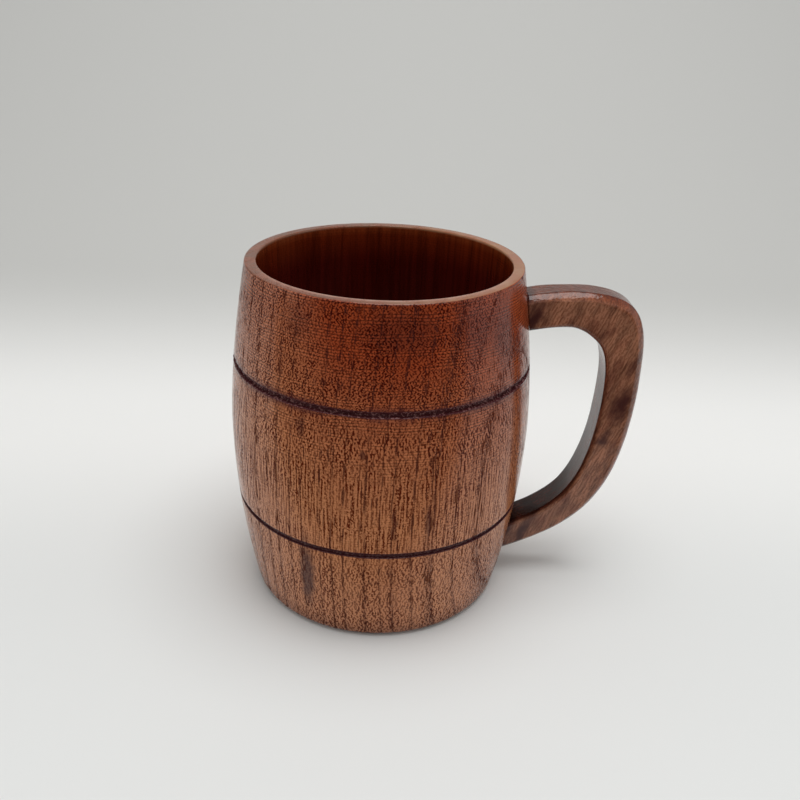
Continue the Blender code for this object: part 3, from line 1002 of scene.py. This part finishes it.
def dowel_finish():
    """Bare pale wood, streaked along the dowel."""
    material, tree, place = new_finish("bare_dowel_wood")
    streaks = cloud(tree, place, DOWEL_STREAKS, detail=3)["Fac"]
    colour = blend(tree, ease(tree, streaks, *DARK_IN_STREAKS), DOWEL_PALE, DOWEL_DARK)
    shader = tree.nodes["Principled BSDF"]
    tree.links.new(colour, shader.inputs["Base Color"])
    shader.inputs["Roughness"].default_value = DOWEL_ROUGHNESS
    return material


dowel_wood = dowel_finish()
for name in ("upper_dowel", "lower_dowel"):
    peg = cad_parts[name]
    peg.data.materials.clear()
    peg.data.materials.append(dowel_wood)

# Stage: a pale paper sweep that runs flat under the cup and curves up behind it, so that the
# ground and the background are one plain surface. It is no part of the cup.
SWEEP_HALF_WIDTH = 1.6
SWEEP_FRONT = -1.2
SWEEP_BEND = 0.14
SWEEP_RADIUS = 0.5
SWEEP_TOP = 1.4
SWEEP_STEPS = 24
PAPER = (0.755, 0.766, 0.760, 1)
# A painted pool of light on the paper just behind the cup, and painted shade further up the sweep.
PAPER_LIT = (0.87, 0.87, 0.86, 1)
PAPER_BEHIND_SHADED = (0.57, 0.57, 0.555, 1)
PAPER_ROUGHNESS = 0.7
ROOM_DARK = (0.04, 0.035, 0.03, 1)
LIT_FROM = (-0.03, 0.09)
BEHIND_FROM = (0.11, 0.27)
DARK_FROM = (-0.03, -0.08)
PALE_ASIDE = 0.4


def paper_finish():
    """Matt pale paper, with a painted pool of light just behind the cup and painted shade further up the
    sweep, which gives way to a dark room where the lacquer mirrors its front.
    """
    material, tree, place = new_finish("pale_paper")
    axes = apart(tree, place)
    depth = axes["Y"]
    # painted light just behind the cup
    paper = blend(tree, ease(tree, depth, *LIT_FROM), PAPER, PAPER_LIT)
    # painted shade further up the sweep
    paper = blend(tree, ease(tree, depth, *BEHIND_FROM), paper, PAPER_BEHIND_SHADED)
    mirrored = add_node(tree, "ShaderNodeLightPath", {}).outputs["Is Glossy Ray"]
    forward = calc(tree, "MULTIPLY_ADD", calc(tree, "MAXIMUM", axes["X"], 0), PALE_ASIDE, depth)
    dark = times(tree, mirrored, ease(tree, forward, *DARK_FROM))
    shader = tree.nodes["Principled BSDF"]
    tree.links.new(blend(tree, dark, paper, ROOM_DARK), shader.inputs["Base Color"])
    shader.inputs["Roughness"].default_value = PAPER_ROUGHNESS
    return material


def paper_sweep():
    """The sweep as one strip of faces along its line from front to top."""
    bend = arc((SWEEP_BEND, SWEEP_RADIUS), SWEEP_RADIUS, -90, 0, SWEEP_STEPS)
    line = [(SWEEP_FRONT, 0), *bend, (SWEEP_BEND + SWEEP_RADIUS, SWEEP_TOP)]
    points = [(x, y, z) for y, z in line for x in (-SWEEP_HALF_WIDTH, SWEEP_HALF_WIDTH)]
    faces = [(2 * i, 2 * i + 1, 2 * i + 3, 2 * i + 2) for i in range(len(line) - 1)]
    mesh = bpy.data.meshes.new("paper_sweep")
    mesh.from_pydata(points, [], faces)
    mesh.shade_smooth()
    mesh.materials.append(paper_finish())
    sweep = bpy.data.objects.new("paper_sweep", mesh)
    bpy.context.scene.collection.objects.link(sweep)
    return sweep


paper_sweep()

# Light: one wide round lamp overhead, a little to the right and in front of the cup, and a pale
# room all round that is brighter at both sides and darker low down in front.
LAMP_PLACE = Vector((0.06, -0.07, 0.85))
LAMP_AIM = Vector((0, 0, 0))
LAMP_WIDTH = 0.6
LAMP_POWER = 4.1
ROOM = (0.70, 0.70, 0.69, 1)
ROOM_LEVEL = 0.69
ROOM_SIDE_LEVEL = 0.55
ROOM_SEEN_LEVEL = 0.75
ROOM_FRONT = (-0.2, -0.7)
ROOM_LOW = (0.45, 0.0)
ROOM_SIDES = (0.4, 0.9)
ROOM_DIMMED = (0.35, 0.95)


def overhead_lamp():
    """A round lamp that looks down at the cup."""
    light = bpy.data.lights.new("overhead_lamp", "AREA")
    light.shape = "DISK"
    light.size = LAMP_WIDTH
    light.energy = LAMP_POWER
    lamp = bpy.data.objects.new("overhead_lamp", light)
    lamp.location = LAMP_PLACE
    lamp.rotation_euler = (LAMP_AIM - LAMP_PLACE).to_track_quat("-Z", "Y").to_euler()
    bpy.context.scene.collection.objects.link(lamp)


def pale_room():
    """The world as a pale room, whose dim front shows most in the lacquer."""
    world = bpy.data.worlds.new("pale_room")
    bpy.context.scene.world = world
    world.use_nodes = True
    tree = world.node_tree
    axes = apart(tree, add_node(tree, "ShaderNodeTexCoord", {}).outputs["Generated"])
    front = ease(tree, axes["Y"], *ROOM_FRONT)
    below = ease(tree, axes["Z"], *ROOM_LOW)
    beside = ease(tree, calc(tree, "ABSOLUTE", axes["X"]), *ROOM_SIDES)
    path = add_node(tree, "ShaderNodeLightPath", {}).outputs
    dim = ease(tree, path["Is Glossy Ray"], 0, 1, *ROOM_DIMMED)
    dim = times(tree, dim, times(tree, front, below))
    level = calc(tree, "MULTIPLY_ADD", beside, ROOM_SIDE_LEVEL, ROOM_LEVEL)
    level = times(tree, level, calc(tree, "SUBTRACT", 1, dim))
    strength = between_values(tree, path["Is Camera Ray"], level, ROOM_SEEN_LEVEL)
    ground = tree.nodes["Background"]
    ground.inputs["Color"].default_value = ROOM
    tree.links.new(strength, ground.inputs["Strength"])


overhead_lamp()
pale_room()

# Camera: stands where the photograph was taken from, above the rim, close in front of the cup,
# looking down on it with a slight tilt.
FOCAL_PIXELS = 865
IMAGE_PIXELS = 800
SENSOR_WIDTH = 36
NEAREST_SEEN = 0.01
CAMERA_PLACE = Vector((0, -0.24153, 0.17590))
CAMERA_PAN = 0.02433
CAMERA_PITCH = 0.44779
CAMERA_ROLL = 0.0407


def set_camera():
    """Makes the camera and turns it by its pan, pitch and roll."""
    data = bpy.data.cameras.new("camera")
    data.sensor_width = SENSOR_WIDTH
    data.lens = SENSOR_WIDTH * FOCAL_PIXELS / IMAGE_PIXELS
    data.clip_start = NEAREST_SEEN
    camera = bpy.data.objects.new("camera", data)
    bpy.context.scene.collection.objects.link(camera)
    ahead = Vector((
        math.sin(CAMERA_PAN) * math.cos(CAMERA_PITCH),
        math.cos(CAMERA_PAN) * math.cos(CAMERA_PITCH),
        -math.sin(CAMERA_PITCH),
    ))
    level = Vector((math.cos(CAMERA_PAN), -math.sin(CAMERA_PAN), 0))
    upright = level.cross(ahead)
    right = math.cos(CAMERA_ROLL) * level + math.sin(CAMERA_ROLL) * upright
    turn = Matrix((right, right.cross(ahead), -ahead)).transposed()
    camera.matrix_world = Matrix.Translation(CAMERA_PLACE) @ turn.to_4x4()
    bpy.context.scene.camera = camera


set_camera()
bpy.context.scene.view_settings.view_transform = "Standard"
